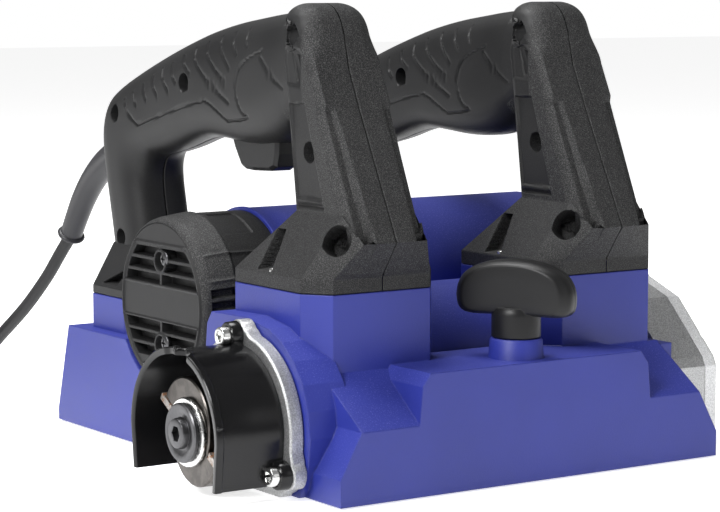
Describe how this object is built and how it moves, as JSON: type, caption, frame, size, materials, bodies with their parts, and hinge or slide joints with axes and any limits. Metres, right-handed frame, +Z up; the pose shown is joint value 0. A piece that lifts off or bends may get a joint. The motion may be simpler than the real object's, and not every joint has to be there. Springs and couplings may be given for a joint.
{
  "type": "two-handled portable timber planer",
  "caption": "Corded hand planer for timber with two closed handles, a transverse motor, a belt-driven cutter drum, a guarded side cutter and a depth knob.",
  "frame": {"origin": "on the ground under the middle of the machine without its cord, where the soles rest", "axes": "+X across the machine from the side cutter to the belt cover, +Y from the front knob to the cord, +Z up"},
  "size_m": [0.4012, 0.689, 0.262],
  "materials": {
    "blue_nylon": "moulded blue nylon, lightly grained on the slopes",
    "black_nylon": "coarse spark-textured black nylon with satin flanks",
    "satin_black": "smooth satin black plastic",
    "black_rubber": "matte black rubber",
    "cast_aluminium": "sand-blasted die-cast aluminium",
    "machined_aluminium": "milled aluminium",
    "zinc_steel": "bright zinc plated steel",
    "dark_steel": "blackened steel",
    "tool_steel": "ground tool steel, lightly rusted",
    "brass": "plain brass"
  },
  "bodies": {
    "root": {"main_housing": "blue_nylon", "rear_sole": "machined_aluminium", "left_handle_left_shell": "black_nylon", "left_handle_right_shell": "black_nylon", "right_handle_left_shell": "black_nylon", "right_handle_right_shell": "black_nylon", "left_handle_screw_front_top": "zinc_steel", "left_handle_screw_front_pillar": "zinc_steel", "left_handle_screw_grip": "zinc_steel", "left_handle_screw_rear_top": "zinc_steel", "left_handle_screw_rear_pillar": "zinc_steel", "right_handle_screw_front_top": "zinc_steel", "right_handle_screw_front_pillar": "zinc_steel", "right_handle_screw_grip": "zinc_steel", "right_handle_screw_rear_top": "zinc_steel", "right_handle_screw_rear_pillar": "zinc_steel", "left_handle_base_bolt": "zinc_steel", "right_handle_base_bolt": "zinc_steel", "left_handle_base_screw": "zinc_steel", "right_handle_base_screw": "zinc_steel", "switch_block": "satin_black", "cutter_bearing_left": "zinc_steel", "cutter_bearing_right": "zinc_steel", "bearing_flange": "cast_aluminium", "side_guard": "satin_black", "guard_screw_top": "zinc_steel", "guard_screw_front": "zinc_steel", "guard_screw_rear": "zinc_steel", "motor_barrel": "black_nylon", "motor_end_cap": "black_nylon", "cap_screw_upper": "zinc_steel", "cap_screw_lower": "zinc_steel", "motor_bearing_left": "zinc_steel", "motor_bearing_right": "zinc_steel", "stator": "dark_steel", "brush_carrier": "brass", "belt_case": "cast_aluminium", "belt_cover": "cast_aluminium", "belt_cover_screw": "zinc_steel", "drive_belt": "black_rubber", "strain_relief": "black_rubber", "cord_run": "black_rubber", "cord_coil": "black_rubber", "mains_plug": "black_rubber"},
    "knob": {"depth_knob": "satin_black", "depth_screw": "zinc_steel"},
    "front_shoe": {"front_sole": "machined_aluminium"},
    "trigger": {"trigger": "satin_black"},
    "cutter": {"cutter_drum": "machined_aluminium", "drum_knife_upper": "tool_steel", "drum_knife_lower": "tool_steel", "side_cutter_head": "dark_steel", "side_knife_upper": "tool_steel", "side_knife_lower": "tool_steel", "clamp_washer": "zinc_steel", "cutter_bolt": "dark_steel", "cutter_pulley": "dark_steel"},
    "motor": {"armature": "dark_steel", "cooling_fan": "black_nylon", "motor_pulley": "dark_steel"}
  },
  "joints": [
    {"name": "knob_turn", "type": "hinge", "parent": "root", "child": "knob", "pos_m": [0.00735, -0.13657, 0.078], "axis": [0, 0, 1], "range_deg": [0, 270]},
    {"name": "front_sole_lift", "type": "slide", "parent": "root", "child": "front_shoe", "axis": [0, 0, 1], "range_m": [0, 0.003]},
    {"name": "trigger_pull", "type": "hinge", "parent": "root", "child": "trigger", "pos_m": [-0.07065, 0.02343, 0.191], "axis": [-1, 0, 0], "range_deg": [0, 6], "stiffness_Nm_per_rad": 0.4, "springref_deg": -8.59},
    {"name": "cutter_spin", "type": "hinge", "parent": "root", "child": "cutter", "pos_m": [0, -0.07857, 0.034], "axis": [1, 0, 0], "continuous": true},
    {"name": "motor_spin", "type": "hinge", "parent": "root", "child": "motor", "pos_m": [0, 0.02943, 0.0895], "axis": [1, 0, 0], "continuous": true}
  ],
  "couplings": [
    {"joint": "knob_turn", "follows": "front_sole_lift", "rad_per_m": 1570.8},
    {"joint": "motor_spin", "follows": "cutter_spin", "ratio": 1.1765}
  ]
}
